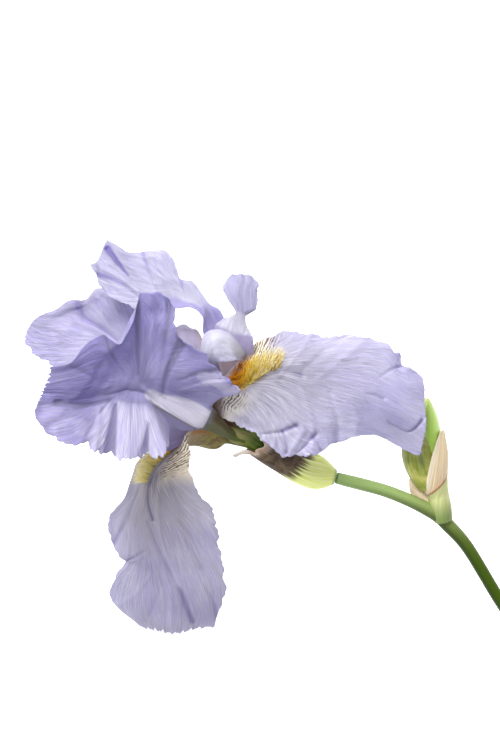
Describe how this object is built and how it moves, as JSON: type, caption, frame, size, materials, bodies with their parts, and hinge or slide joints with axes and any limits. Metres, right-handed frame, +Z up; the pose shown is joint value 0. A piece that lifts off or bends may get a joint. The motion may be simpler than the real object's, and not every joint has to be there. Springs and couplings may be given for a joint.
{
  "type": "iris flower",
  "caption": "Bearded iris in flower, cut with its stem and laid down: ruffled standards and bearded falls round a green tube, with bracts and a closed side bud.",
  "frame": {"origin": "middle of the object's box, on the surface that it lies on", "axes": "+X towards the stem's cut end, with the bloom at -X; +Y across the stem, away from the lower fall; +Z up"},
  "size_m": [0.224, 0.1883, 0.0939],
  "materials": {
    "fall": "soft satin petal, pale lavender with branching veins and brown stripes on its foot",
    "standard": "thin translucent petal, lavender blue with fine veins",
    "style_arm": "satin petal, nearly white with a lavender edge",
    "beard": "fleshy hairs, orange at the throat and yellow with white tips further out",
    "stamen": "powdery cream anther on a pale thread",
    "tube": "smooth waxy dark green",
    "spathe": "ribbed leaf, yellow-green at its base, dry and brown above",
    "stem": "smooth waxy fresh green",
    "bud": "smooth fresh green with a yellow tip",
    "bud_bract": "smooth olive green with faint ribs",
    "papery_bract": "dry papery tan with brown creases, yellow-green at its base"
  },
  "bodies": {
    "root": {"fall_right": "fall", "fall_lower": "fall", "fall_under": "fall", "standard_front": "standard", "standard_left": "standard", "standard_top": "standard", "beard_right": "beard", "beard_lower": "beard", "beard_under": "beard", "style_arm_right": "style_arm", "style_arm_lower": "style_arm", "style_arm_under": "style_arm", "stamen_right": "stamen", "stamen_lower": "stamen", "stamen_under": "stamen", "ovary_tube": "tube", "spathe_outer": "spathe", "spathe_inner": "spathe", "stem": "stem", "bud": "bud", "bud_bract_olive": "bud_bract", "bud_bract_paper": "papery_bract", "bud_bract_small": "papery_bract"}
  },
  "joints": []
}
